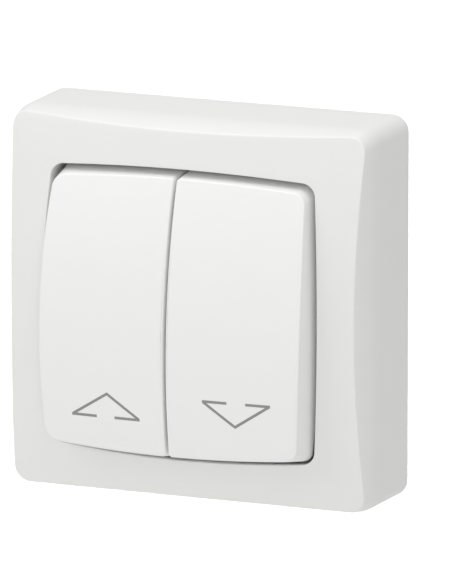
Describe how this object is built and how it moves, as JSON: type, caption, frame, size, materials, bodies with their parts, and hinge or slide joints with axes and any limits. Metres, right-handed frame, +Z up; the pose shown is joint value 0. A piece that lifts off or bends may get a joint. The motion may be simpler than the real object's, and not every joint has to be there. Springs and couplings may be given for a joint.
{
  "type": "roller shutter switch",
  "caption": "Surface-mounted roller shutter switch: a domed square frame round two tilting keys, one for up and one for down, over a contact mechanism.",
  "frame": {"origin": "centre of the back face that lies on the wall", "axes": "+Y into the wall, +Z up, +X to the right as seen from the room"},
  "size_m": [0.08, 0.0336, 0.08],
  "materials": {
    "frame_plastic": "satin moulded white plastic",
    "key_plastic": "satin moulded white plastic, a little smoother",
    "tray_plastic": "matt off-white plastic",
    "mechanism_plastic": "matt grey glass-filled plastic",
    "cover_plastic": "matt light plastic",
    "tumbler_plastic": "low-friction grey plastic",
    "slider_plastic": "low-friction light plastic",
    "terminal_brass": "plain brass",
    "contact_brass": "stamped brass",
    "screw_steel": "zinc-plated steel",
    "axle_steel": "drawn steel pin",
    "spring_steel": "spring wire"
  },
  "bodies": {
    "housing": {"back_box": "tray_plastic", "front_frame": "frame_plastic", "mechanism_housing": "mechanism_plastic", "mechanism_cover": "cover_plastic", "mechanism_screw_left": "screw_steel", "mechanism_screw_right": "screw_steel", "key_axle": "axle_steel", "common_strip": "contact_brass", "common_terminal": "terminal_brass", "common_terminal_screw": "screw_steel", "up_terminal": "terminal_brass", "up_terminal_screw": "screw_steel", "up_fixed_contact": "contact_brass", "down_terminal": "terminal_brass", "down_terminal_screw": "screw_steel", "down_fixed_contact": "contact_brass"},
    "up_key": {"up_key": "key_plastic", "up_tumbler": "tumbler_plastic", "up_spring": "spring_steel"},
    "up_plunger": {"up_plunger": "slider_plastic"},
    "up_contact_lever": {"up_contact_lever": "contact_brass"},
    "down_key": {"down_key": "key_plastic", "down_tumbler": "tumbler_plastic", "down_spring": "spring_steel"},
    "down_plunger": {"down_plunger": "slider_plastic"},
    "down_contact_lever": {"down_contact_lever": "contact_brass"},
    "interlock": {"interlock_slider": "slider_plastic"}
  },
  "joints": [
    {"name": "up_key_hinge", "type": "hinge", "parent": "housing", "child": "up_key", "pos_m": [-0.0115, -0.022, 0], "axis": [1, 0, 0], "range_deg": [0, 8.74]},
    {"name": "up_plunger_slide", "type": "slide", "parent": "up_key", "child": "up_plunger", "axis": [0, -0.9971, 0.0762], "range_m": [0, 0.0006], "stiffness_N_per_m": 200, "deforming": ["up_spring"]},
    {"name": "up_lever_hinge", "type": "hinge", "parent": "housing", "child": "up_contact_lever", "pos_m": [-0.0115, -0.009, 0], "axis": [1, 0, 0], "range_deg": [-16, 0]},
    {"name": "down_key_hinge", "type": "hinge", "parent": "housing", "child": "down_key", "pos_m": [0.0115, -0.022, 0], "axis": [1, 0, 0], "range_deg": [0, 8.74]},
    {"name": "down_plunger_slide", "type": "slide", "parent": "down_key", "child": "down_plunger", "axis": [0, -0.9971, 0.0762], "range_m": [0, 0.0006], "stiffness_N_per_m": 200, "deforming": ["down_spring"]},
    {"name": "down_lever_hinge", "type": "hinge", "parent": "housing", "child": "down_contact_lever", "pos_m": [0.0115, -0.009, 0], "axis": [1, 0, 0], "range_deg": [-16, 0]},
    {"name": "interlock_slide", "type": "slide", "parent": "housing", "child": "interlock", "axis": [1, 0, 0], "range_m": [-0.001, 0.001]}
  ],
  "couplings": [
    {"joint": "up_lever_hinge", "follows": "up_key_hinge", "ratio": -1.8307},
    {"joint": "down_lever_hinge", "follows": "down_key_hinge", "ratio": -1.8307}
  ]
}
